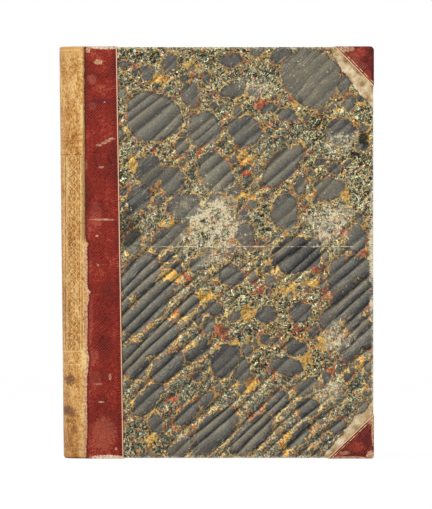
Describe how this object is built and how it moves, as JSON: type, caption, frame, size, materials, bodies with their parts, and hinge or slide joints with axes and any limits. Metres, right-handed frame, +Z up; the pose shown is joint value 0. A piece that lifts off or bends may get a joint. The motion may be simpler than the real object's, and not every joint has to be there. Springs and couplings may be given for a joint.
{
  "type": "antique leather book",
  "caption": "Upright antique half-leather book with a rounded back, leather corners, marbled paper sides and two hinged covers.",
  "frame": {"origin": "middle of the footprint, on the plane that the tail edges stand on", "axes": "+X from the rounded back to the fore-edge, +Y from the front cover to the back cover, +Z up from tail to head"},
  "size_m": [0.23, 0.049, 0.301],
  "materials": {
    "tan_leather": "matte",
    "red_leather": "satin",
    "marbled_paper": "matte",
    "end_paper": "matte",
    "page_paper": "matte",
    "lining_paper": "matte",
    "board": "matte",
    "endband_thread": "matte",
    "hemp_cord": "matte"
  },
  "bodies": {
    "text_block": {"text_block": "page_paper", "front_flyleaf": "end_paper", "back_flyleaf": "end_paper", "spine_lining": "lining_paper", "spine_inlay": "board", "spine_leather": "tan_leather", "head_endband": "endband_thread", "tail_endband": "endband_thread", "sewing_cord_1": "hemp_cord", "sewing_cord_2": "hemp_cord", "sewing_cord_3": "hemp_cord", "sewing_cord_4": "hemp_cord", "sewing_cord_5": "hemp_cord"},
    "front_cover": {"front_board": "board", "front_side_leather": "red_leather", "front_head_corner": "red_leather", "front_tail_corner": "red_leather", "front_marbled_paper": "marbled_paper", "front_pastedown": "end_paper"},
    "back_cover": {"back_board": "board", "back_side_leather": "red_leather", "back_head_corner": "red_leather", "back_tail_corner": "red_leather", "back_marbled_paper": "marbled_paper", "back_pastedown": "end_paper"}
  },
  "joints": [
    {"name": "front_hinge", "type": "hinge", "parent": "text_block", "child": "front_cover", "pos_m": [-0.0966, -0.0245, 0.1505], "axis": [0, 0, -1], "range_deg": [0, 180]},
    {"name": "back_hinge", "type": "hinge", "parent": "text_block", "child": "back_cover", "pos_m": [-0.0966, 0.0245, 0.1505], "axis": [0, 0, 1], "range_deg": [0, 180]}
  ]
}
